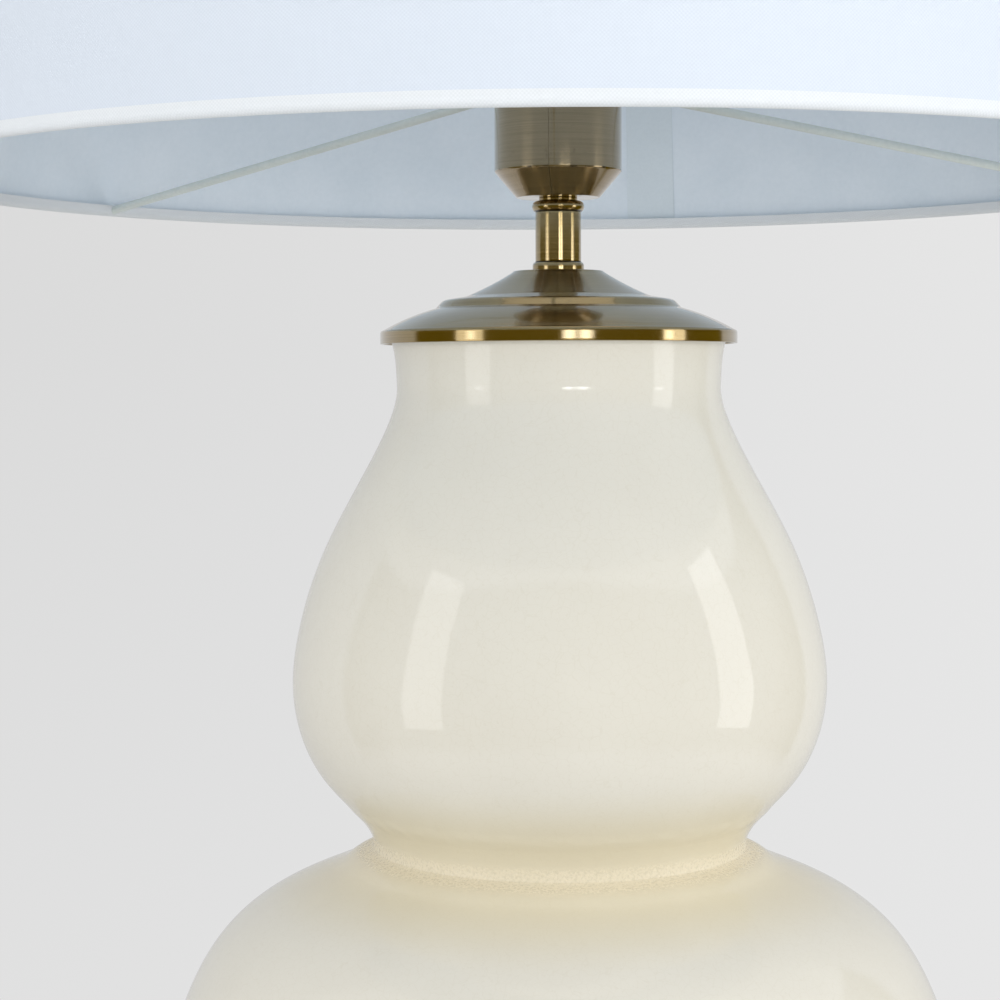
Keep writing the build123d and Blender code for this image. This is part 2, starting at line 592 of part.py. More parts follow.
def rolled_edge(label: str, end_z: float, inward: int, arm_azimuths: tuple = ()) -> None:
    """Cloth rolled round the wire ring and up the inside of the shade, cut away where the arms pass."""
    radius, z = ring_wire_centre(end_z, inward)
    whole = edge_outline(radius, z, inward, 0.0, 180.0, HEM_FLAP)
    cut_away = edge_outline(radius, z, inward, ARM_NOTCH_INSET, ARM_NOTCH_TURN, 0.0)
    half = math.degrees((ARM_WIRE_RADIUS + ARM_SLOT_CLEARANCE) / radius)
    with BuildPart() as edge:
        if not arm_azimuths:
            add(turned(whole, 0.0, 360.0))
        for azimuth, following in zip(arm_azimuths, arm_azimuths[1:] + arm_azimuths[:1]):
            add(turned(whole, azimuth + half, (following - azimuth) % 360 - 2 * half))
        for azimuth in arm_azimuths:
            add(turned(cut_away, azimuth - 1.5 * half, 3 * half))
    save(edge.part, label)


wire_ring("shade_bottom_ring", ring_wire_centre(SHADE_BOTTOM_Z, 1))
wire_ring("shade_top_ring", ring_wire_centre(SHADE_TOP_Z, -1))
rolled_edge("shade_hem_bottom", SHADE_BOTTOM_Z, 1, ARM_AZIMUTHS)
rolled_edge("shade_hem_top", SHADE_TOP_Z, -1)

for number, azimuth in enumerate(ARM_AZIMUTHS, start=1):
    rod = arm_rod(azimuth, ARM_WIRE_RADIUS)
    with BuildPart() as shade_arm:
        add(rod)
        # the arm is welded to the wire ring and to the fitter, so it stops at their surfaces
        with BuildSketch(Plane.XZ):
            with Locations(ring_wire_centre(SHADE_BOTTOM_Z, 1)):
                Circle(RING_WIRE_RADIUS)
        revolve(axis=Axis.Z, mode=Mode.SUBTRACT)
        with BuildSketch(Plane.XY.offset(fitter_bottom)):
            Circle(FITTER_OUTER_RADIUS)
        extrude(amount=FITTER_THICKNESS, mode=Mode.SUBTRACT)
    arm = shade_arm.part.solids().sort_by(SortBy.VOLUME)[-1]
    save(Part(arm.wrapped), f"shade_arm_{number}")
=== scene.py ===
"""The looks of a double gourd table lamp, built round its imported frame.

Metres, +Z up, in the frame's own coordinates. The camera stands on the -Y side. A bearing is an angle about
the lamp's axis from -Y, with +X at 90 degrees.
"""

import logging
import math
from collections.abc import Callable
from dataclasses import dataclass
from enum import Enum

import bmesh
import bpy
from mathutils import Matrix, Vector, kdtree, noise


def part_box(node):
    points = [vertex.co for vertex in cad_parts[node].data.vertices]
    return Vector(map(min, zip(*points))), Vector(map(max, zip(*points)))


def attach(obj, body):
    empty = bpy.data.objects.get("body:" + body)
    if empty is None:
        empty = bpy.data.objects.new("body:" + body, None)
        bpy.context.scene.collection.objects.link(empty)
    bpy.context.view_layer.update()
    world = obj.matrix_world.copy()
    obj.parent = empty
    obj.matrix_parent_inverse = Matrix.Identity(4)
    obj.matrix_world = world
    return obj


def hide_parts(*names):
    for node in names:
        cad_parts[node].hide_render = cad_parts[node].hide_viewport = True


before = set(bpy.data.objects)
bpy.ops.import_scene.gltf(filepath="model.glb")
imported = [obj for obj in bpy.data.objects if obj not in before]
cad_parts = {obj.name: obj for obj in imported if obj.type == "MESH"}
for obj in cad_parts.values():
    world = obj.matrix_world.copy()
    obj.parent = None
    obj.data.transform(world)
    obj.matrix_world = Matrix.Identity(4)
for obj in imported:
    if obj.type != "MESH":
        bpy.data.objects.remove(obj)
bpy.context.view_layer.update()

log = logging.getLogger("lamp")
MM = 0.001
Outline = list[tuple[float, float]]
Shift = Callable[[float, float, float], tuple[float, float]]
Socket = bpy.types.NodeSocket
Tree = bpy.types.NodeTree


class Body(Enum):
    """The bodies that pieces move with."""

    BASE = "base"
    RING_NUT = "ring_nut"
    SHADE = "shade"
    CONTACT = "contact"


# ================================================================ nodes and colours
def linear(code: str) -> tuple[float, float, float, float]:
    """Turns an sRGB hex colour into the linear colour that a socket takes.

    Args:
        code: six hex digits after a hash sign.

    Returns:
        Red, green, blue and an alpha of 1.
    """
    shares = [int(code[at:at + 2], 16) / 255 for at in (1, 3, 5)]
    light = [s / 12.92 if s <= 0.04045 else ((s + 0.055) / 1.055) ** 2.4 for s in shares]
    return light[0], light[1], light[2], 1.0


def per_metre(millimetres: float) -> float:
    """How many steps of that many millimetres fit in a metre."""
    return 1000.0 / millimetres


def add(tree: Tree, kind: str, settings: dict | None = None, inputs: dict | None = None) -> bpy.types.Node:
    """Adds a node with its settings and links.

    Args:
        tree: the node tree of a material or of the world.
        kind: the node's type without the words ShaderNode.
        settings: the node's own properties.
        inputs: a value, or a socket to link, for each input by name or number.

    Returns:
        The new node.
    """
    made = tree.nodes.new("ShaderNode" + kind)
    for key, value in (settings or {}).items():
        setattr(made, key, value)
    for key, value in (inputs or {}).items():
        if isinstance(value, Socket):
            tree.links.new(value, made.inputs[key])
        else:
            made.inputs[key].default_value = value
    return made


# ================================================================ finishes
@dataclass(frozen=True)
class Finish:
    """A finish that can be laid on a piece: its name, the record's slot and its material."""

    name: str
    slot: str

    def material(self) -> bpy.types.Material:
        """Makes the material, or finds it if it is made already.

        Returns:
            The material.
        """
        found = bpy.data.materials.get(self.name)
        if found:
            return found
        made = bpy.data.materials.new(self.name)
        made.use_nodes = True
        tree = made.node_tree
        tree.nodes.clear()
        surface = add(tree, "BsdfPrincipled")
        add(tree, "OutputMaterial", inputs={"Surface": surface.outputs["BSDF"]})
        self.dress(tree, surface)
        return made

    def dress(self, tree: Tree, surface: bpy.types.Node) -> None:
        """Sets the surface's sockets. Each finish has its own.

        Args:
            tree: the material's node tree.
            surface: its Principled shader.
        """
        raise NotImplementedError


@dataclass(frozen=True)
class CreamGlaze(Finish):
    """Glossy cream crackle glaze on thrown stoneware: a thick, slightly uneven glass over a pale body.

    Round the crease a painted warm tint stands in for the bounce light and shade there. A sugary frost lies
    along the crease itself, painted lighter than the glaze to offset the crease's shade.
    """

    thin: str = "#DEDBD0"
    thick: str = "#D8D4C8"
    cloud_mm: float = 40.0
    crack: str = "#B9AE92"
    crackle_mm: float = 3.2
    crack_width: float = 0.035   # as a share of a cell of the crackle
    warp_mm: float = 2.5
    warp: float = 0.0012
    speck_mm: float = 0.9
    marked: float = 0.10
    # painted shade: a warm tint round the crease that stands in for its bounce light and shade
    crease_shade_tint: str = "#DED0A6"
    crease_shade_share: float = 0.42
    crease_shade_reach: float = 0.034
    crease_shade_fall: float = 1.8   # how much faster it fades below the crease than above it
    crease_z: float = 0.190
    # the frost's colour, painted lighter than the glaze to offset the crease's shade
    frost_and_painted_light: str = "#EAE0C8"
    frost_z: float = 0.1912
    frost_reach: float = 0.0048
    frost_mm: float = 0.9
    frost_relief: float = 0.0003
    frost_roughness: float = 0.42
    swell_mm: float = 22.0
    swell_relief: float = 0.0006
    roughness: float = 0.055
    ior: float = 1.5

    def dress(self, tree: Tree, surface: bpy.types.Node) -> None:
        """Lays the drifting tone, the fine cracks, the painted crease shade and the frost over each other.

        Args:
            tree: the material's node tree.
            surface: its Principled shader.
        """
        place = add(tree, "TexCoord").outputs["Object"]
        height = add(tree, "SeparateXYZ", inputs={"Vector": place}).outputs["Z"]
        cloud = add(tree, "TexNoise", inputs={
            "Vector": place, "Scale": per_metre(self.cloud_mm), "Detail": 3.0})
        tone = add(tree, "Mix", {"data_type": "RGBA"}, {
            "Factor": cloud.outputs["Fac"], 6: linear(self.thin), 7: linear(self.thick)})
        lined = add(tree, "Mix", {"data_type": "RGBA"}, {
            "Factor": self.marks(tree, place), 6: tone.outputs[2], 7: linear(self.crack)})
        # painted warm tint round the crease, standing in for its bounce light and shade
        crease_shaded = add(tree, "Mix", {"data_type": "RGBA"}, {
            "Factor": self.painted_crease_shade(tree, height), 6: lined.outputs[2], 7: linear(self.crease_shade_tint)})
        frost = self.frost(tree, place, height)
        # the frost, in a colour painted lighter to offset the crease's shade
        colour = add(tree, "Mix", {"data_type": "RGBA"}, {
            "Factor": frost, 6: crease_shaded.outputs[2], 7: linear(self.frost_and_painted_light)})
        rough = add(tree, "MapRange", inputs={
            "Value": frost, "From Min": 0.0, "From Max": 0.7,
            "To Min": self.roughness, "To Max": self.frost_roughness})
        swell = add(tree, "TexNoise", inputs={
            "Vector": place, "Scale": per_metre(self.swell_mm), "Detail": 1.0})
        wavy = add(tree, "Bump", inputs={
            "Height": swell.outputs["Fac"], "Strength": 0.25, "Distance": self.swell_relief})
        coarse = add(tree, "Bump", inputs={
            "Height": frost, "Strength": 0.5, "Distance": self.frost_relief,
            "Normal": wavy.outputs["Normal"]})
        tree.links.new(colour.outputs[2], surface.inputs["Base Color"])
        tree.links.new(rough.outputs["Result"], surface.inputs["Roughness"])
        tree.links.new(coarse.outputs["Normal"], surface.inputs["Normal"])
        surface.inputs["IOR"].default_value = self.ior

    def marks(self, tree: Tree, place: Socket) -> Socket:
        """How dark each spot is with fine cracks and specks, up to the marked share.

        Args:
            tree: the material's node tree.
            place: the spot, in metres.

        Returns:
            The socket of that share.
        """
        warped = add(tree, "TexNoise", inputs={
            "Vector": place, "Scale": per_metre(self.warp_mm), "Detail": 1.0})
        bent = add(tree, "VectorMath", {"operation": "MULTIPLY_ADD"}, {
            0: warped.outputs["Color"], 1: (self.warp,) * 3, 2: place})
        cells = add(tree, "TexVoronoi", {"feature": "DISTANCE_TO_EDGE"}, {
            "Vector": bent.outputs["Vector"], "Scale": per_metre(self.crackle_mm)})
        line = add(tree, "MapRange", inputs={
            "Value": cells.outputs["Distance"], "From Min": 0.0, "From Max": self.crack_width,
            "To Min": self.marked, "To Max": 0.0})
        speck = add(tree, "TexNoise", inputs={
            "Vector": place, "Scale": per_metre(self.speck_mm), "Detail": 1.0})
        spots = add(tree, "MapRange", inputs={
            "Value": speck.outputs["Fac"], "From Min": 0.62, "From Max": 0.75,
            "To Min": 0.0, "To Max": self.marked})
        return add(tree, "Math", {"operation": "MAXIMUM"}, {
            0: line.outputs["Result"], 1: spots.outputs["Result"]}).outputs["Value"]

    def painted_crease_shade(self, tree: Tree, height: Socket) -> Socket:
        """How strongly the painted warm tint for the crease's bounce light and shade lies on the glaze, up to
        its share.

        Args:
            tree: the material's node tree.
            height: the spot's height, in metres.

        Returns:
            The socket of that share.
        """
        above = add(tree, "Math", {"operation": "SUBTRACT"}, {0: height, 1: self.crease_z})
        below = add(tree, "Math", {"operation": "MULTIPLY"}, {
            0: above.outputs["Value"], 1: -self.crease_shade_fall})
        away = add(tree, "Math", {"operation": "MAXIMUM"}, {
            0: above.outputs["Value"], 1: below.outputs["Value"]})
        return add(tree, "MapRange", {"interpolation_type": "SMOOTHSTEP"}, {
            "Value": away.outputs["Value"], "From Min": self.crease_shade_reach / 4, "From Max": self.crease_shade_reach,
            "To Min": self.crease_shade_share, "To Max": 0.0}).outputs["Result"]

    def frost(self, tree: Tree, place: Socket, height: Socket) -> Socket:
        """How thick the grains of frost lie on each spot, from 0 to 1.

        Args:
            tree: the material's node tree.
            place: the spot, in metres.
            height: its height.

        Returns:
            The socket of that share.
        """
        above = add(tree, "Math", {"operation": "SUBTRACT"}, {0: height, 1: self.frost_z})
        away = add(tree, "Math", {"operation": "ABSOLUTE"}, {0: above.outputs["Value"]})
        near = add(tree, "MapRange", {"interpolation_type": "SMOOTHSTEP"}, {
            "Value": away.outputs["Value"], "From Min": self.frost_reach / 3, "From Max": self.frost_reach,
            "To Min": 1.0, "To Max": 0.0})
        grains = add(tree, "TexNoise", inputs={
            "Vector": place, "Scale": per_metre(self.frost_mm), "Detail": 3.0})
        sugar = add(tree, "MapRange", inputs={
            "Value": grains.outputs["Fac"], "From Min": 0.22, "From Max": 0.72})
        return add(tree, "Math", {"operation": "MULTIPLY"}, {
            0: near.outputs["Result"], 1: sugar.outputs["Result"]}).outputs["Value"]


@dataclass(frozen=True)
class TurnedMetal(Finish):
    """Metal brushed while it turned about the lamp's axis: its lines run round it and smear glints upright.

    The lines are drawn coarser than the real ones, which are too fine to show. The shaded joints are heights
    where the shade in a joint between pieces is painted as a dark line all round, and the patchy line is a
    height where a dark line is drawn in places. The seam is an upright line at one bearing, where a sheet
    meets itself.
    """

    bright: str
    dull: str
    # the colour of random dirt, and of the shade painted into joints
    dirt_and_shade: str = "#1C1408"
    roughness: float = 0.17
    stretch: float = 0.90
    upright: float = 0.25   # of a turn: from the lines' own direction to the one that glints smear in
    lacquer: float = 1.0
    lacquer_roughness: float = 0.08
    line_mm: float = 0.24
    streak: float = 0.6
    relief_mm: float = 0.009
    dirt_mm: float = 2.2
    dirt_roughness: float = 0.6
    shaded_joints_mm: tuple[float, ...] = ()
    dark_line_mm: float = 0.24
    joint_shade_dark: float = 0.92
    patchy_line_mm: float | None = None
    seam_bearing: float | None = None
    seam_mm: float = 0.16
    seam_dark: float = 0.55

    def dress(self, tree: Tree, surface: bpy.types.Node) -> None:
        """Draws fine lines round the axis in colour, roughness and height, and dark joint lines, some of them
        painted shade.

        Args:
            tree: the material's node tree.
            surface: its Principled shader.
        """
        place = add(tree, "TexCoord").outputs["Object"]
        flat = add(tree, "VectorMath", {"operation": "MULTIPLY"}, {0: place, 1: (1.0, 1.0, 0.0)})
        radius = add(tree, "VectorMath", {"operation": "LENGTH"}, {0: flat.outputs["Vector"]})
        around = add(tree, "VectorMath", {"operation": "NORMALIZE"}, {0: flat.outputs["Vector"]})
        height = add(tree, "VectorMath", {"operation": "MULTIPLY"}, {
            0: place, 1: (0.0, 0.0, per_metre(self.line_mm))})
        across = add(tree, "VectorMath", {"operation": "MULTIPLY_ADD"}, {
            0: around.outputs["Vector"], 1: (self.streak,) * 3, 2: height.outputs["Vector"]})
        outward = add(tree, "Math", {"operation": "MULTIPLY"}, {
            0: radius.outputs["Value"], 1: per_metre(self.line_mm)})
        lines = add(tree, "TexNoise", {"noise_dimensions": "4D"}, {
            "Vector": across.outputs["Vector"], "W": outward.outputs["Value"], "Scale": 1.0, "Detail": 2.0})
        share = add(tree, "MapRange", inputs={
            "Value": lines.outputs["Fac"], "From Min": 0.32, "From Max": 0.68})
        tone = add(tree, "Mix", {"data_type": "RGBA"}, {
            "Factor": share.outputs["Result"], 6: linear(self.dull), 7: linear(self.bright)})
        rough = add(tree, "MapRange", inputs={
            "Value": lines.outputs["Fac"], "From Min": 0.3, "From Max": 0.7,
            "To Min": self.roughness * 0.9, "To Max": self.roughness * 1.1})
        dirt_and_shade_marks = self.dirt_and_shade_marks(tree, place)
        stained_and_shaded = add(tree, "Mix", {"data_type": "RGBA"}, {
            "Factor": dirt_and_shade_marks, 6: tone.outputs[2], 7: linear(self.dirt_and_shade)})
        dry = add(tree, "Mix", {"data_type": "FLOAT"}, {
            "Factor": dirt_and_shade_marks, 2: rough.outputs["Result"], 3: self.dirt_roughness})
        relief = add(tree, "Bump", inputs={
            "Height": lines.outputs["Fac"], "Strength": 0.3, "Distance": self.relief_mm * MM})
        tangent = add(tree, "Tangent", {"direction_type": "RADIAL", "axis": "Z"})
        tree.links.new(stained_and_shaded.outputs[2], surface.inputs["Base Color"])
        tree.links.new(dry.outputs[0], surface.inputs["Roughness"])
        tree.links.new(relief.outputs["Normal"], surface.inputs["Normal"])
        tree.links.new(tangent.outputs["Tangent"], surface.inputs["Tangent"])
        surface.inputs["Metallic"].default_value = 1.0
        surface.inputs["Anisotropic"].default_value = self.stretch
        surface.inputs["Anisotropic Rotation"].default_value = self.upright
        surface.inputs["Coat Weight"].default_value = self.lacquer
        surface.inputs["Coat Roughness"].default_value = self.lacquer_roughness

    def dirt_and_shade_marks(self, tree: Tree, place: Socket) -> Socket:
        """How dark each spot is with dirt, painted joint shade and dark lines, from 0 to 1.

        Args:
            tree: the material's node tree.
            place: the spot, in metres.

        Returns:
            The socket of that share.
        """
        height = add(tree, "SeparateXYZ", inputs={"Vector": place}).outputs["Z"]
        cloud = add(tree, "TexNoise", inputs={
            "Vector": place, "Scale": per_metre(self.dirt_mm), "Detail": 2.0}).outputs["Fac"]
        total = add(tree, "MapRange", inputs={
            "Value": cloud, "From Min": 0.66, "From Max": 0.90,
            "To Min": 0.0, "To Max": 0.25}).outputs["Result"]
        # painted shade: the shade in the joints between the neck's pieces, drawn as dark lines all round
        reach = self.dark_line_mm * MM
        for z_mm in self.shaded_joints_mm:
            total = self.darker(tree, total, height, z_mm * MM, reach, self.joint_shade_dark)
        # a patchy dark line at one height
        if self.patchy_line_mm is not None:
            patchy = add(tree, "MapRange", inputs={
                "Value": cloud, "From Min": 0.54, "From Max": 0.60, "To Min": 0.0, "To Max": 0.9})
            total = self.darker(tree, total, height, self.patchy_line_mm * MM, reach, patchy.outputs["Result"])
        if self.seam_bearing is not None:
            turn = math.radians(self.seam_bearing)
            off = add(tree, "VectorMath", {"operation": "DOT_PRODUCT"}, {
                0: place, 1: (math.cos(turn), math.sin(turn), 0.0)})
            total = self.darker(tree, total, off.outputs["Value"], 0.0, self.seam_mm * MM / 2, self.seam_dark)
        return total

    def darker(self, tree: Tree, total: Socket, value: Socket, middle: float, reach: float,
               most: float | Socket) -> Socket:
        """Adds a dark line, where a value comes near a middle, to the dirt and painted shade so far.

        Args:
            tree: the material's node tree.
            total: the dirt and painted shade so far.
            value: the value that the line follows, in metres.
            middle: the value in the middle of the line.
            reach: half of the line's width.
            most: how dark the line is.

        Returns:
            The new total.
        """
        near = add(tree, "Math", {"operation": "COMPARE"}, {0: value, 1: middle, 2: reach})
        line = add(tree, "Math", {"operation": "MULTIPLY"}, {0: near.outputs["Value"], 1: most})
        return add(tree, "Math", {"operation": "MAXIMUM"}, {
            0: total, 1: line.outputs["Value"]}).outputs["Value"]


@dataclass(frozen=True)
class WovenCotton(Finish):
    """Fine plain woven cotton, laminated flat: threads over and under each other, with uneven slubs.

    The threads are drawn a little coarser than the real ones, which are too fine to show.
    """

    light: str = "#D1D9E3"
    shadow: str = "#C8D0DB"
    thread_mm: float = 0.5
    drift_mm: float = 6.0
    drift: float = 0.0004
    slub_mm: tuple[float, float] = (0.5, 14.0)
    slub_share: float = 0.8
    relief_mm: float = 0.03
    roughness: float = 0.9
    sheen: float = 0.15

    def dress(self, tree: Tree, surface: bpy.types.Node) -> None:
        """Weaves the threads along the flat cut of the cloth, which the mesh keeps under the name flat_cut.

        Args:
            tree: the material's node tree.
            surface: its Principled shader.
        """
        cut = add(tree, "UVMap", {"uv_map": "flat_cut"}).outputs["UV"]
        slow = add(tree, "TexNoise", inputs={"Vector": cut, "Scale": per_metre(self.drift_mm), "Detail": 2.0})
        drifted = add(tree, "VectorMath", {"operation": "MULTIPLY_ADD"}, {
            0: slow.outputs["Color"], 1: (self.drift, self.drift, 0.0), 2: cut})
        threads = add(tree, "VectorMath", {"operation": "SCALE"}, {
            0: drifted.outputs["Vector"], "Scale": math.pi * per_metre(self.thread_mm)})
        parts = add(tree, "SeparateXYZ", inputs={"Vector": threads.outputs["Vector"]})
        warp = add(tree, "Math", {"operation": "SINE"}, {0: parts.outputs["X"]})
        weft = add(tree, "Math", {"operation": "SINE"}, {0: parts.outputs["Y"]})
        over = add(tree, "Math", {"operation": "MULTIPLY"}, {
            0: warp.outputs["Value"], 1: weft.outputs["Value"]})
        thin, long = (per_metre(size) for size in self.slub_mm)
        slubs = []
        for scale in ((thin, long, 1.0), (long, thin, 1.0)):
            stretched = add(tree, "VectorMath", {"operation": "MULTIPLY"}, {0: cut, 1: scale})
            slubs.append(add(tree, "TexNoise", inputs={
                "Vector": stretched.outputs["Vector"], "Scale": 1.0, "Detail": 2.0}))
        both = add(tree, "Math", {"operation": "ADD"}, {
            0: slubs[0].outputs["Fac"], 1: slubs[1].outputs["Fac"]})
        raised = add(tree, "Math", {"operation": "MULTIPLY_ADD"}, {
            0: both.outputs["Value"], 1: self.slub_share, 2: over.outputs["Value"]})
        share = add(tree, "MapRange", inputs={
            "Value": raised.outputs["Value"], "From Min": -0.4, "From Max": 1.8})
        tone = add(tree, "Mix", {"data_type": "RGBA"}, {
            "Factor": share.outputs["Result"], 6: linear(self.shadow), 7: linear(self.light)})
        relief = add(tree, "Bump", inputs={
            "Height": raised.outputs["Value"], "Strength": 0.5, "Distance": self.relief_mm * MM})
        tree.links.new(tone.outputs[2], surface.inputs["Base Color"])
        tree.links.new(relief.outputs["Normal"], surface.inputs["Normal"])
        surface.inputs["Roughness"].default_value = self.roughness
        surface.inputs["Sheen Weight"].default_value = self.sheen
        surface.inputs["Sheen Roughness"].default_value = 0.5


@dataclass(frozen=True)
class Moulded(Finish):
    """A moulded, coated, fired or pressed surface: small grain of its own and a slow drift of tone."""

    light: str
    dark: str
    roughness: float
    grain_mm: float
    relief_mm: float
    metallic: float = 0.0
    sheen: float = 0.0
    drift_mm: float = 25.0
    grain_share: float = 0.7

    def dress(self, tree: Tree, surface: bpy.types.Node) -> None:
        """Lays grain in height and roughness, and tone at two scales.

        Args:
            tree: the material's node tree.
            surface: its Principled shader.
        """
        place = add(tree, "TexCoord").outputs["Object"]
        grain = add(tree, "TexNoise", inputs={
            "Vector": place, "Scale": per_metre(self.grain_mm), "Detail": 3.0})
        drift = add(tree, "TexNoise", inputs={
            "Vector": place, "Scale": per_metre(self.drift_mm), "Detail": 2.0})
        mixed = add(tree, "Math", {"operation": "MULTIPLY_ADD"}, {
            0: grain.outputs["Fac"], 1: self.grain_share, 2: drift.outputs["Fac"]})
        share = add(tree, "MapRange", inputs={
            "Value": mixed.outputs["Value"], "From Min": 0.5, "From Max": 1.2})
        tone = add(tree, "Mix", {"data_type": "RGBA"}, {
            "Factor": share.outputs["Result"], 6: linear(self.dark), 7: linear(self.light)})
        rough = add(tree, "MapRange", inputs={
            "Value": grain.outputs["Fac"], "From Min": 0.3, "From Max": 0.7,
            "To Min": self.roughness * 0.85, "To Max": self.roughness * 1.15})
        relief = add(tree, "Bump", inputs={
            "Height": grain.outputs["Fac"], "Strength": 0.4, "Distance": self.relief_mm * MM})
        tree.links.new(tone.outputs[2], surface.inputs["Base Color"])
        tree.links.new(rough.outputs["Result"], surface.inputs["Roughness"])
        tree.links.new(relief.outputs["Normal"], surface.inputs["Normal"])
        surface.inputs["Metallic"].default_value = self.metallic
        surface.inputs["Sheen Weight"].default_value = self.sheen


# fired glaze: a clear, hard gloss that mirrors the studio in sharp edges
GLAZE = CreamGlaze("cream_crackle_glaze", "glaze")
# spun brass, antiqued and brushed: a dark gold whose glints are cut off sharply sideways and smeared upright;
# the shade in its joints at the collar and ferrule is painted as dark lines
BRASS = TurnedMetal("brushed_antique_brass", "antique_brass", bright="#AF9A6D", dull="#988459",
                    shaded_joints_mm=(384.8, 401.5))
# the same brass as a drawn cup, whose wall has a joint line and a patchy dark line along its lower corner
CUP_BRASS = TurnedMetal("drawn_antique_brass", "antique_brass", bright="#A89678", dull="#958465",
                        patchy_line_mm=414.7, seam_bearing=-8.2)
# pressed brass strip of the contacts: cleaner and yellower
CONTACT = Moulded("pressed_contact_brass", "contact_brass", "#DDC37A", "#B99A52", 0.28, 0.8, 0.02,
                  metallic=1.0)
# bright zinc plate on turned steel: cool grey with faint cloud
ZINC = Moulded("zinc_plated_steel", "plated_steel", "#C9CACB", "#A6A9AC", 0.32, 1.2, 0.02, metallic=1.0)
# baked powder coat on wire: soft gloss with a slight orange peel
POWDER = Moulded("white_powder_coat", "white_wire", "#D6DDDA", "#C4CDCB", 0.42, 1.6, 0.05)
# plain woven cotton laminated to the lining: matt, with a fine even weave
CLOTH = WovenCotton("laminated_woven_cotton", "shade_cloth")
# painted light: the same cotton turned over the wire, coloured greyer and less blue for the light on the
# rolled edge
HEM_PAINTED_LIGHT = WovenCotton("rolled_cotton_painted_light", "shade_cloth", light="#DDE1E5", shadow="#D2D7DB")
# paper-backed tape over the lining's joint: a shade duller than the lining
TAPE = Moulded("matt_joint_tape", "shade_lining", "#DDE7EE", "#D3DEE6", 0.7, 1.2, 0.01)
# extruded styrene lining: matt, smooth, faintly clouded
LINING = Moulded("matt_styrene_lining", "shade_lining", "#E4EDF6", "#DAE5EF", 0.6, 2.0, 0.01)
# moulded phenolic: near black with a dull gloss
PHENOLIC = Moulded("moulded_phenolic", "dark_plastic", "#2A2624", "#171515", 0.38, 1.0, 0.02)
# unglazed steatite: off-white, dry, with a fine tooth
STEATITE = Moulded("unglazed_steatite", "socket_ceramic", "#E4E0D6", "#D3CDC0", 0.55, 0.5, 0.03)
# moulded rubber: grey, matt and slightly dusty
RUBBER = Moulded("moulded_rubber", "soft_rubber", "#9D9B95", "#83817B", 0.75, 0.8, 0.03)
# pressed wool felt: short fibres, no gloss
FELT = Moulded("pressed_felt", "felt", "#6A655E", "#4C4842", 0.95, 0.6, 0.25, sheen=0.4)

NODE_FINISHES: dict[Finish, tuple[str, ...]] = {
    BRASS: ("shade_rest_ring", "shade_ring_nut"),
    CONTACT: ("terminal_screws", "screw_shell", "side_contact", "contact_tab", "contact_tongue"),
    ZINC: ("threaded_tube", "clamp_plate", "lock_washer", "foot_nut", "entry_nut"),
    POWDER: ("shade_fitter", "shade_arm_1", "shade_arm_2", "shade_arm_3", "shade_bottom_ring",
             "shade_top_ring"),
    TAPE: ("shade_seam_tape",),
    PHENOLIC: ("holder_skirt", "cord_gland"),
    STEATITE: ("socket_insert",),
    RUBBER: ("foot_gasket", "cap_gasket"),
    FELT: ("felt_pad",),
}


# ================================================================ turned meshes
SECTION_BEARING = math.radians(5.3)   # a plane through the axis that misses every hole and arm
CORNER = math.radians(28)
SHARP = math.radians(38)
WELD = 0.00001
SAMPLE_STEP = 0.0004
SAMPLE_REACH = 0.0003
SHORTEST = 1e-12


def section(node: str) -> Outline:
    """Reads the outline of a turned node where a half plane through the axis cuts it.

    Args:
        node: a node of the frame.

    Returns:
        Radius and height of each point, in order round the closed outline.
    """
    along = Vector((math.cos(SECTION_BEARING), math.sin(SECTION_BEARING), 0))
    cut = bmesh.new()
    cut.from_mesh(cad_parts[node].data)
    bmesh.ops.remove_doubles(cut, verts=cut.verts, dist=WELD)
    bmesh.ops.bisect_plane(
        cut, geom=cut.verts[:] + cut.edges[:] + cut.faces[:], plane_co=(0, 0, 0),
        plane_no=(-along.y, along.x, 0), clear_inner=True, clear_outer=True)
    bmesh.ops.delete(cut, geom=[v for v in cut.verts if v.co.dot(along) < 0], context="VERTS")
    bmesh.ops.remove_doubles(cut, verts=cut.verts, dist=WELD)
    first = max(cut.verts, key=lambda v: (v.co.xy.length, v.co.z))
    ordered, came, here = [first], None, first
    while True:
        onward = [e for e in here.link_edges if e is not came]
        came = onward[0]
        here = came.other_vert(here)
        if here is first:
            break
        ordered.append(here)
    outline = [(v.co.xy.length, v.co.z) for v in ordered]
    cut.free()
    return outline


def measured(node: str) -> Outline:
    """Reads a turned node's outline from its own vertices, which lie on its true surface.

    Args:
        node: a node of the frame.

    Returns:
        Radius and height of each point, in the section's order round the closed outline.
    """
    rough = section(node)
    samples: Outline = []
    for (radius, z), (next_radius, next_z) in zip(rough, rough[1:] + rough[:1]):
        steps = max(1, math.ceil(math.hypot(next_radius - radius, next_z - z) / SAMPLE_STEP))
        samples += [(radius + (next_radius - radius) * n / steps, z + (next_z - z) * n / steps)
                    for n in range(steps)]
    tree = kdtree.KDTree(len(samples))
    for number, (radius, z) in enumerate(samples):
        tree.insert((radius, z, 0), number)
    tree.balance()
    spots = {(round(v.co.xy.length, 6), round(v.co.z, 6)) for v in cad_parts[node].data.vertices}
    kept: dict[int, tuple[float, float]] = {}
    for radius, z in sorted(spots):
        _, number, off = tree.find((radius, z, 0))
        if off < SAMPLE_REACH:
            kept.setdefault(number, (radius, z))
    return [kept[number] for number in sorted(kept)]


def turn_at(outline: Outline, at: int) -> float:
    """How sharply a closed outline turns at one of its points, in radians."""
    before, here, after = (Vector(outline[(at + step) % len(outline)]) for step in (-1, 0, 1))
    return (here - before).angle(after - here, 0.0)


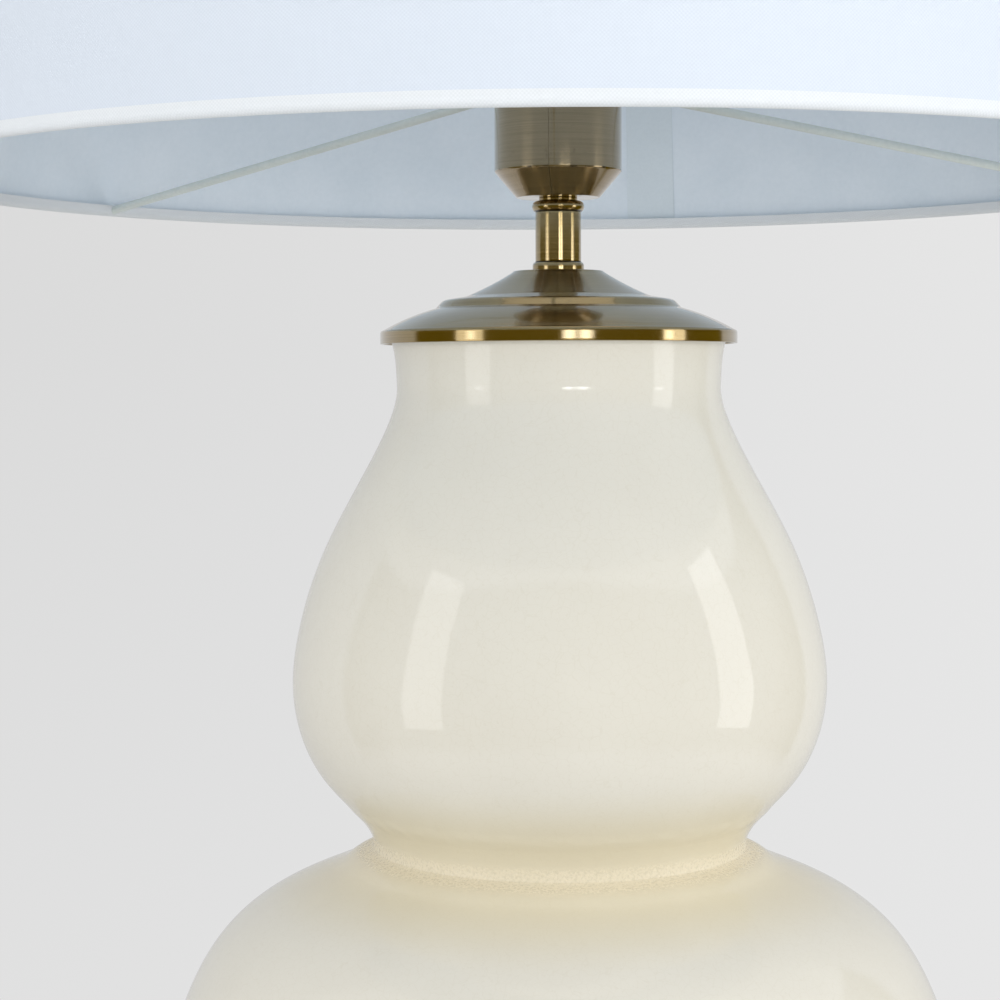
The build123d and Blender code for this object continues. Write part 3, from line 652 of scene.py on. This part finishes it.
def resampled(outline: Outline, step: float, rounding: float = 0.0) -> Outline:
    """Spaces the points of a closed outline evenly between its corners, and rounds the corners off.

    Args:
        outline: the closed outline.
        step: the largest distance between two points.
        rounding: how far from a corner its rounding starts.

    Returns:
        The new closed outline.
    """
    corners = [at for at in range(len(outline)) if turn_at(outline, at) > CORNER] or [0]
    made: Outline = []
    for start, end in zip(corners, corners[1:] + [corners[0] + len(outline)]):
        run = [Vector(outline[at % len(outline)]) for at in range(start, end + 1)]
        reach = [0.0]
        for a, b in zip(run, run[1:]):
            reach.append(reach[-1] + (b - a).length)
        trim = min(rounding, reach[-1] / 3)
        count = max(1, math.ceil((reach[-1] - 2 * trim) / step))
        if rounding and len(corners) > 1:
            made += corner_arc(outline, start, trim)
        for number in range(count + 1 if trim else count):
            made.append(point_along(run, reach, trim + (reach[-1] - 2 * trim) * number / count))
    return made


def point_along(run: list[Vector], reach: list[float], distance: float) -> tuple[float, float]:
    """The point at a distance along a smooth curve through a run of points.

    Args:
        run: the points.
        reach: each point's distance from the first one.
        distance: how far along the point is.

    Returns:
        Its radius and height.
    """
    at = 1
    while at < len(reach) - 1 and reach[at] < distance:
        at += 1
    span = max(reach[at] - reach[at - 1], SHORTEST)
    share = min(max((distance - reach[at - 1]) / span, 0.0), 1.0)
    leave, arrive = ((run[b] - run[a]) / max(reach[b] - reach[a], SHORTEST) * span
                     for a, b in ((max(at - 2, 0), at), (at - 1, min(at + 1, len(run) - 1))))
    point = (run[at - 1] * (2 * share ** 3 - 3 * share ** 2 + 1)
             + leave * (share ** 3 - 2 * share ** 2 + share)
             + run[at] * (3 * share ** 2 - 2 * share ** 3)
             + arrive * (share ** 3 - share ** 2))
    return point.x, point.y


def corner_arc(outline: Outline, at: int, trim: float) -> Outline:
    """Two points inside a corner that round it off between the trimmed ends of its sides.

    Args:
        outline: the closed outline.
        at: the corner's number in it.
        trim: how much is trimmed off each side.

    Returns:
        The two points.
    """
    here = Vector(outline[at])
    before = Vector(outline[at - 1])
    after = Vector(outline[(at + 1) % len(outline)])
    start = here + (before - here).normalized() * trim
    end = here + (after - here).normalized() * trim
    bend = [start.lerp(here, s).lerp(here.lerp(end, s), s) for s in (1 / 3, 2 / 3)]
    return [(p.x, p.y) for p in bend]


def turned(name: str, outline: Outline, segments: int, finish: Finish,
           shift: Shift | None = None) -> bpy.types.Object:
    """Turns a closed outline round the lamp's axis into a smooth mesh.

    Args:
        name: the piece's name.
        outline: the closed outline, as radius and height.
        segments: how many steps go round.
        finish: what the piece is made of.
        shift: gives a point's new radius and height from its radius, height and bearing.

    Returns:
        The new object.
    """
    shell = bmesh.new()
    rings = []
    for number in range(segments):
        bearing = 2 * math.pi * number / segments
        ring = []
        for radius, z in outline:
            if shift:
                radius, z = shift(radius, z, bearing)
            ring.append(shell.verts.new((radius * math.sin(bearing), -radius * math.cos(bearing), z)))
        rings.append(ring)
    for ring, following in zip(rings, rings[1:] + rings[:1]):
        for at in range(len(outline)):
            nxt = (at + 1) % len(outline)
            shell.faces.new((ring[at], following[at], following[nxt], ring[nxt]))
    return finished(name, shell, finish)


def finished(name: str, shell: bmesh.types.BMesh, finish: Finish) -> bpy.types.Object:
    """Turns a mesh in the making into a piece: faces outward, smooth but for its sharp edges.

    Args:
        name: the piece's name.
        shell: the mesh in the making, which is freed.
        finish: what the piece is made of.

    Returns:
        The new object.
    """
    bmesh.ops.recalc_face_normals(shell, faces=shell.faces)
    for face in shell.faces:
        face.smooth = True
    for edge in shell.edges:
        edge.smooth = len(edge.link_faces) != 2 or edge.calc_face_angle(0.0) < SHARP
    mesh = bpy.data.meshes.new(name)
    shell.to_mesh(mesh)
    shell.free()
    mesh.materials.append(finish.material())
    piece = bpy.data.objects.new(name, mesh)
    bpy.context.scene.collection.objects.link(piece)
    return piece


def place(piece: bpy.types.Object, body: Body, finish: Finish, *nodes: str) -> bpy.types.Object:
    """Puts a finished piece on its body in the place of the nodes that it stands for.

    Args:
        piece: the piece.
        body: the body that it moves with.
        finish: what it is made of.
        nodes: the nodes of the frame that it replaces.

    Returns:
        The piece.
    """
    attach(piece, body.value)
    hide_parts(*nodes)
    log.info("%s: %d faces, %s, on %s", piece.name, len(piece.data.polygons), finish.name, body.value)
    return piece


# ================================================================ the lamp's sub-assemblies
@dataclass
class Vase:
    """The thrown and glazed double gourd vase."""

    segments: int = 480
    step: float = 0.0016
    wobble: float = 0.00012
    wobble_grain: tuple[float, float] = (2, 30)   # how fast the unevenness changes round the vase and up it
    lump_grain: tuple[float, float] = (14, 260)   # the same for the lumps on the ridge
    waist: tuple[float, float] = (0.15, 0.23)
    waist_wall: float = 0.0605
    ridge: float = 0.0004
    ridge_rise: float = 0.0037
    ridge_reach: float = 0.0036
    neck: tuple[float, float] = (0.3435, 0.3562)
    neck_wall: float = 0.0525
    easing: int = 14
    crease: tuple[float, float] = (0.0, 0.0)   # read from the frame when the vase is built

    def build(self) -> None:
        """Makes the vase, slightly uneven from throwing, with a lumpy ridge of pooled glaze in its crease."""
        outline = measured("ceramic_body")
        outside = (p for p in outline if self.waist[0] < p[1] < self.waist[1] and p[0] > self.waist_wall)
        self.crease = min(outside, key=lambda p: p[0])
        log.info("crease at radius %.2f mm, height %.2f mm", self.crease[0] / MM, self.crease[1] / MM)
        smooth = self.refined(self.eased(resampled(outline, self.step)))
        place(turned("vase", smooth, self.segments, GLAZE, self.thrown), Body.BASE, GLAZE, "ceramic_body")

    def eased(self, outline: Outline) -> Outline:
        """Smooths the outer neck below the lip, so that its reflections run on without a step.

        Args:
            outline: the closed outline.

        Returns:
            The outline with its points there moved by less than half a millimetre.
        """
        for _ in range(self.easing):
            sides = zip(outline[-1:] + outline[:-1], outline, outline[1:] + outline[:1])
            outline = [((a[0] + 2 * here[0] + b[0]) / 4, (a[1] + 2 * here[1] + b[1]) / 4)
                       if self.neck[0] < here[1] < self.neck[1] and here[0] > self.neck_wall else here
                       for a, here, b in sides]
        return outline

    def on_ridge(self, radius: float, z: float) -> float:
        """How near a point is to the top of the ridge.

        Args:
            radius: the point's radius.
            z: its height.

        Returns:
            1 at the top, and 0 beyond the ridge and inside the vase.
        """
        if radius < self.crease[0] - self.ridge:
            return 0.0
        return max(0.0, 1 - abs(z - self.crease[1] - self.ridge_rise) / self.ridge_reach)

    def refined(self, outline: Outline) -> Outline:
        """Adds points where the ridge needs them.

        Args:
            outline: the closed outline.

        Returns:
            The outline with three more points on each side that touches the ridge.
        """
        made: Outline = []
        for (radius, z), (next_radius, next_z) in zip(outline, outline[1:] + outline[:1]):
            made.append((radius, z))
            if self.on_ridge(radius, z) or self.on_ridge(next_radius, next_z):
                made += [(radius + (next_radius - radius) * s, z + (next_z - z) * s)
                         for s in (0.25, 0.5, 0.75)]
        return made

    def thrown(self, radius: float, z: float, bearing: float) -> tuple[float, float]:
        """Shifts a point as the potter's hands and the pooled glaze did.

        Args:
            radius: the point's radius.
            z: its height.
            bearing: its bearing.

        Returns:
            Its new radius and height.
        """
        radius += self.wobble * self.grain(bearing, z, self.wobble_grain)
        near = self.on_ridge(radius, z)
        if near > 0:
            lumps = 0.75 + 0.5 * self.grain(bearing, z, self.lump_grain)
            radius += self.ridge * near * near * (3 - 2 * near) * lumps
        return radius, z

    def grain(self, bearing: float, z: float, fineness: tuple[float, float]) -> float:
        """Smooth noise from -1 to 1 at a bearing and height, of a given fineness round the vase and up it."""
        return noise.noise(Vector((math.cos(bearing) * fineness[0], math.sin(bearing) * fineness[0],
                                   z * fineness[1])))


@dataclass
class Neck:
    """The spun cap on the vase, and the collar, tube and ferrule that carry the lampholder."""

    segments: int = 256
    step: float = 0.0006
    rounding: float = 0.0002

    def build(self) -> None:
        """Turns each brass piece from its outline, with slightly rounded edges that catch the light."""
        for node in ("vase_cap", "neck_collar", "neck_tube", "neck_ferrule"):
            outline = resampled(measured(node), self.step, self.rounding)
            piece = turned(node + "_brass", outline, self.segments, BRASS)
            place(piece, Body.BASE, BRASS, node)


@dataclass
class Lampholder:
    """The brass cup that holds the socket."""

    segments: int = 256
    step: float = 0.0006
    rounding: float = 0.0003

    def build(self) -> None:
        """Turns the cup from its outline. The socket inside keeps the frame's solids."""
        outline = resampled(measured("holder_cup"), self.step, self.rounding)
        cup = turned("holder_cup_brass", outline, self.segments, CUP_BRASS)
        place(cup, Body.BASE, CUP_BRASS, "holder_cup")


@dataclass
class Shade:
    """The drum shade: cloth laminated to a lining, and rolled round two wire rings."""

    segments: int = 360
    step: float = 0.006
    hem_step: float = 0.0004
    tension: float = 0.00012
    waves: tuple[tuple[float, float, float], ...] = ((9, 0.7, 0), (14, 0, 12), (23, 0, -7))
    overlap: float = 0.020
    low: tuple[float, float] = (0.0, 0.0)    # the outer lower corner of the cloth, read from the frame
    high: tuple[float, float] = (0.0, 0.0)   # its outer upper corner
    slant: float = 0.0
    fan: float = 0.0                         # the share of a full turn that the flat cut takes

    def build(self) -> None:
        wall = section("shade_cover")
        bottom, top = (corner.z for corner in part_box("shade_cover"))
        self.low = max((p for p in wall if p[1] < bottom + MM), key=lambda p: p[0])
        self.high = max((p for p in wall if p[1] > top - MM), key=lambda p: p[0])
        self.slant = math.hypot(self.low[0] - self.high[0], self.high[1] - self.low[1])
        self.fan = (self.low[0] - self.high[0]) / self.slant
        cover = self.rolled("shade_cloth", "shade_cover", self.step, CLOTH)
        self.rolled("shade_lining_sheet", "shade_lining", self.step, LINING)
        edges = [self.rolled("rolled_edge_bottom", "shade_hem_bottom", self.hem_step, HEM_PAINTED_LIGHT),
                 self.rolled("rolled_edge_top", "shade_hem_top", self.hem_step, HEM_PAINTED_LIGHT)]
        for piece in (cover, *edges):
            self.lay_flat(piece)

    def rolled(self, name: str, node: str, step: float, finish: Finish) -> bpy.types.Object:
        """Makes a piece of the shade's wall from its section.

        Args:
            name: the piece's name.
            node: the node that it replaces.
            step: the largest distance between two points of its outline.
            finish: what it is made of.

        Returns:
            The piece.
        """
        piece = turned(name, resampled(section(node), step), self.segments, finish, self.tensioned)
        return place(piece, Body.SHADE, finish, node)

    def tensioned(self, radius: float, z: float, bearing: float) -> tuple[float, float]:
        """Shifts a point by the faint waves that the cloth's tension leaves."""
        waves = sum(math.sin(count * bearing + start + climb * z) for count, start, climb in self.waves)
        return radius + self.tension * waves / len(self.waves), z

    def cut(self) -> tuple[float, float, float]:
        """The flat size of the cloth before it was rolled into a cone.

        Returns:
            The width and length of the piece that it is cut from, and the cut's own area.
        """
        long_reach = self.low[0] / self.fan
        short_reach = long_reach - self.slant
        half = math.pi * self.fan
        width = 2 * long_reach * math.sin(half) + self.overlap
        length = long_reach - short_reach * math.cos(half)
        area = half * (long_reach ** 2 - short_reach ** 2) + self.overlap * self.slant
        return width, length, area

    def lay_flat(self, piece: bpy.types.Object) -> None:
        """Gives a cloth piece the coordinates of its flat cut, in metres, along which its threads run.

        Args:
            piece: the cloth piece.
        """
        layer = piece.data.uv_layers.new(name="flat_cut")
        for face in piece.data.polygons:
            bearings = []
            for loop in face.loop_indices:
                spot = piece.data.vertices[piece.data.loops[loop].vertex_index].co
                bearings.append(math.atan2(spot.x, -spot.y))
            if max(bearings) - min(bearings) > math.pi:
                bearings = [b + 2 * math.pi if b < 0 else b for b in bearings]
            for loop, bearing in zip(face.loop_indices, bearings):
                spot = piece.data.vertices[piece.data.loops[loop].vertex_index].co
                reach = (self.low[0] - (spot.z - self.low[1]) * self.fan) / self.fan
                turn = bearing * self.fan
                layer.data[loop].uv = (reach * math.sin(turn), reach * math.cos(turn))


def dress_frame() -> None:
    """Gives every node that still shows its finish."""
    for finish, nodes in NODE_FINISHES.items():
        for node in nodes:
            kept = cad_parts[node]
            kept.data.materials.clear()
            kept.data.materials.append(finish.material())
            log.info("%s keeps its solid, %s", node, finish.name)


# ================================================================ studio
@dataclass(frozen=True)
class Softbox:
    """A rectangular lamp that shines level at the lamp's axis from a bearing, in degrees."""

    name: str
    bearing: float
    width: float
    height: float
    middle: float
    distance: float
    radiance: float
    spread: float = 180.0
    in_gloss: bool = True

    def gathering(self) -> float:
        """How much brighter a narrow beam makes the lamp along its middle."""
        half = math.radians(self.spread / 2)
        return math.tan(half) / (math.tan(half) - half) if self.spread < 180 else 1.0

    def hang(self) -> None:
        """Puts the lamp in the scene, never seen by the camera, and seen in reflections only if it is in
        gloss.
        """
        light = bpy.data.lights.new(self.name, "AREA")
        light.shape = "RECTANGLE"
        light.size, light.size_y = self.width, self.height
        light.energy = self.radiance * math.pi * self.width * self.height / self.gathering()
        light.spread = math.radians(self.spread)
        lamp = bpy.data.objects.new(self.name, light)
        turn = math.radians(self.bearing)
        out = Vector((math.sin(turn), -math.cos(turn), 0))
        lamp.location = out * self.distance + Vector((0, 0, self.middle))
        lamp.rotation_mode = "QUATERNION"
        lamp.rotation_quaternion = out.to_track_quat("Z", "Y")
        lamp.visible_camera = False
        lamp.visible_glossy = self.in_gloss
        bpy.context.scene.collection.objects.link(lamp)


@dataclass
class Studio:
    """The floor, the room's light and the camera. None of it is part of the lamp."""

    floor_radius: float = 1.5
    floor_fade: tuple[float, float] = (0.30, 0.50)
    floor_tones: tuple[str, str] = ("#DEDEDE", "#E4E4E4")
    mottle_mm: float = 60.0
    table_edge: tuple[float, float] = (0.42, 0.57)
    backdrop_left: tuple[str, str] = ("#E0E0E0", "#DADADA")
    backdrop_right: str = "#E7E7E7"
    backdrop_rise: tuple[float, float] = (-0.25, 0.02)
    backdrop_turn: tuple[float, float] = (-0.35, 0.35)
    soft_light: float = 0.75
    room: tuple[float, float, float, float] = (0.190, 0.140, 0.006, 1.0)
    ceiling: tuple[float, float, float, float] = (0.85, 0.85, 0.83, 1.0)
    ceiling_edge: tuple[float, float] = (0.60, 0.64)
    ceiling_arch: float = 0.22
    walls: tuple[float, float, float, float] = (0.62, 0.62, 0.62, 1.0)
    right_wall: tuple[float, float] = (126, 130)
    left_wall: tuple[float, float] = (-101, -105)
    camera_at: tuple[float, float, float] = (0.0, -0.76667, 0.3435)
    pitch: float = 0.0491
    yaw: float = -0.0256
    roll: float = -0.0035
    lens: float = 82.8
    soft: tuple[Softbox, ...] = (   # name, bearing, width, height, middle, distance, radiance
        Softbox("left_softbox", -57, 0.47, 1.36, 0.50, 1.4, 1.55),
        Softbox("right_softbox", 77, 0.43, 1.36, 0.50, 1.4, 1.9),
        Softbox("left_fill", -60, 0.50, 1.36, 0.68, 1.4, 0.9, in_gloss=False),
        Softbox("right_fill", 80, 0.50, 1.36, 0.68, 1.4, 1.7, in_gloss=False),
        Softbox("front_fill", 15, 0.60, 0.50, 0.48, 1.3, 4.6, in_gloss=False),
        Softbox("front_lobe_left", 7, 0.17, 0.15, 0.425, 1.0, 13, spread=14),
        Softbox("front_lobe_right", 17, 0.17, 0.15, 0.425, 1.0, 13, spread=14),
        Softbox("left_core", -57, 0.45, 0.24, 0.47, 1.38, 6.0, spread=10),
        Softbox("right_core", 74, 0.41, 0.24, 0.47, 1.38, 7.0, spread=10),
    )

    def build(self) -> None:
        """Lays the floor, lights the room and sets up the camera."""
        self.lay_floor()
        self.light_room()
        for lamp in self.soft:
            lamp.hang()
            log.info("%s at %g degrees", lamp.name, lamp.bearing)
        self.stand_camera()
        bpy.context.scene.view_settings.view_transform = "Standard"

    def between(self, tree: Tree, value: Socket, ends: tuple[float, float], smooth: bool = False) -> Socket:
        """How far a value has come from one end of a range to the other, from 0 to 1.

        Args:
            tree: the tree to add to.
            value: the value.
            ends: the two ends of the range.
            smooth: whether it starts and stops gently.

        Returns:
            The socket of that share.
        """
        return add(tree, "MapRange", {"interpolation_type": "SMOOTHSTEP" if smooth else "LINEAR"}, {
            "Value": value, "From Min": ends[0], "From Max": ends[1]}).outputs["Result"]

    def backdrop(self, tree: Tree, direction: Socket) -> Socket:
        """The pale backdrop's colour in a direction: it changes slowly to the right, and upward on the left.

        Args:
            tree: the tree to add to.
            direction: a unit vector.

        Returns:
            The colour's socket.
        """
        parts = add(tree, "SeparateXYZ", inputs={"Vector": direction})
        left = add(tree, "Mix", {"data_type": "RGBA"}, {
            "Factor": self.between(tree, parts.outputs["Z"], self.backdrop_rise),
            6: linear(self.backdrop_left[0]), 7: linear(self.backdrop_left[1])})
        return add(tree, "Mix", {"data_type": "RGBA"}, {
            "Factor": self.between(tree, parts.outputs["X"], self.backdrop_turn, smooth=True),
            6: left.outputs[2], 7: linear(self.backdrop_right)}).outputs[2]

    def mirrored(self, tree: Tree, direction: Socket) -> Socket:
        """What gloss shows of the room: pale walls behind and beside the lamp, and a dim warm room in front.

        Args:
            tree: the tree to add to.
            direction: a unit vector.

        Returns:
            The colour's socket.
        """
        parts = add(tree, "SeparateXYZ", inputs={"Vector": direction})
        front = add(tree, "Math", {"operation": "MULTIPLY"}, {0: parts.outputs["Y"], 1: -1.0})
        bearing = add(tree, "Math", {"operation": "ARCTAN2"}, {
            0: parts.outputs["X"], 1: front.outputs["Value"]}).outputs["Value"]
        aside = add(tree, "Math", {"operation": "MULTIPLY"}, {0: parts.outputs["X"], 1: parts.outputs["X"]})
        arched = add(tree, "Math", {"operation": "MULTIPLY_ADD"}, {
            0: aside.outputs["Value"], 1: self.ceiling_arch, 2: parts.outputs["Z"]})
        ahead = add(tree, "Mix", {"data_type": "RGBA"}, {
            "Factor": self.between(tree, arched.outputs["Value"], self.ceiling_edge, smooth=True),
            6: self.room, 7: self.ceiling})
        right, left = (self.between(tree, bearing, (math.radians(wall[0]), math.radians(wall[1])))
                       for wall in (self.right_wall, self.left_wall))
        behind = add(tree, "Math", {"operation": "MAXIMUM"}, {0: right, 1: left})
        return add(tree, "Mix", {"data_type": "RGBA"}, {
            "Factor": behind.outputs["Value"], 6: ahead.outputs[2], 7: self.walls}).outputs[2]

    def light_room(self) -> None:
        """Sets what the camera sees round the lamp, what gloss shows and the even light that falls on it."""
        world = bpy.data.worlds.new("studio")
        bpy.context.scene.world = world
        world.use_nodes = True
        world.cycles.sampling_method = "NONE"
        tree = world.node_tree
        tree.nodes.clear()
        direction = add(tree, "TexCoord").outputs["Generated"]
        path = add(tree, "LightPath")
        level = add(tree, "Mix", {"data_type": "RGBA"}, {
            "Factor": path.outputs["Is Diffuse Ray"], 6: self.mirrored(tree, direction),
            7: (self.soft_light,) * 3 + (1.0,)})
        seen = add(tree, "Mix", {"data_type": "RGBA"}, {
            "Factor": path.outputs["Is Camera Ray"], 6: level.outputs[2], 7: self.backdrop(tree, direction)})
        glow = add(tree, "Background", inputs={"Color": seen.outputs[2], "Strength": 1.0})
        add(tree, "OutputWorld", inputs={"Surface": glow.outputs["Background"]})

    def lay_floor(self) -> None:
        """Lays a round pale floor that keeps the lamp's shadow and clears into the backdrop further out.

        In gloss it ends sooner, at the table's edge.
        """
        disc = bmesh.new()
        bmesh.ops.create_circle(disc, cap_ends=True, segments=128, radius=self.floor_radius)
        mesh = bpy.data.meshes.new("floor")
        disc.to_mesh(mesh)
        disc.free()
        floor = bpy.data.objects.new("floor", mesh)
        bpy.context.scene.collection.objects.link(floor)
        paint = bpy.data.materials.new("matt_floor_paint")
        paint.use_nodes = True
        tree = paint.node_tree
        tree.nodes.clear()
        spot = add(tree, "TexCoord").outputs["Object"]
        mottle = add(tree, "TexNoise", inputs={
            "Vector": spot, "Scale": per_metre(self.mottle_mm), "Detail": 4.0})
        tone = add(tree, "Mix", {"data_type": "RGBA"}, {
            "Factor": mottle.outputs["Fac"], 6: linear(self.floor_tones[0]), 7: linear(self.floor_tones[1])})
        matt = add(tree, "BsdfPrincipled", inputs={"Base Color": tone.outputs[2], "Roughness": 0.8})
        reach = add(tree, "VectorMath", {"operation": "LENGTH"}, {0: spot}).outputs["Value"]
        path = add(tree, "LightPath")
        seen = add(tree, "Math", {"operation": "MULTIPLY"}, {
            0: self.between(tree, reach, self.floor_fade, smooth=True), 1: path.outputs["Is Camera Ray"]})
        mirrored = add(tree, "Math", {"operation": "MULTIPLY"}, {
            0: self.between(tree, reach, self.table_edge), 1: path.outputs["Is Glossy Ray"]})
        clear = add(tree, "Math", {"operation": "MAXIMUM"}, {
            0: seen.outputs["Value"], 1: mirrored.outputs["Value"]})
        through = add(tree, "BsdfTransparent")
        cleared = add(tree, "MixShader", inputs={
            0: clear.outputs["Value"], 1: matt.outputs["BSDF"], 2: through.outputs["BSDF"]})
        add(tree, "OutputMaterial", inputs={"Surface": cleared.outputs["Shader"]})
        mesh.materials.append(paint)

    def stand_camera(self) -> None:
        """Stands the camera in front, level with the vase's neck, looking slightly left and down."""
        flat = math.cos(self.pitch)
        ahead = Vector((math.sin(self.yaw) * flat, math.cos(self.yaw) * flat, -math.sin(self.pitch)))
        level = Vector((math.cos(self.yaw), -math.sin(self.yaw), 0))
        upright = level.cross(ahead)
        right = level * math.cos(self.roll) + upright * math.sin(self.roll)
        up = upright * math.cos(self.roll) - level * math.sin(self.roll)
        data = bpy.data.cameras.new("camera")
        data.sensor_width = 36.0
        data.lens = self.lens
        camera = bpy.data.objects.new("camera", data)
        turned_so = Matrix((right, up, -ahead)).transposed().to_4x4()
        camera.matrix_world = Matrix.Translation(self.camera_at) @ turned_so
        bpy.context.scene.collection.objects.link(camera)
        bpy.context.scene.camera = camera


def main() -> None:
    """Builds the studio and the lamp's looks."""
    logging.basicConfig(level=logging.INFO, format="%(name)s: %(message)s")
    Studio().build()
    for assembly in (Vase(), Neck(), Lampholder(), Shade()):
        assembly.build()
    dress_frame()
    bpy.context.view_layer.update()


if __name__ == "__main__":
    main()
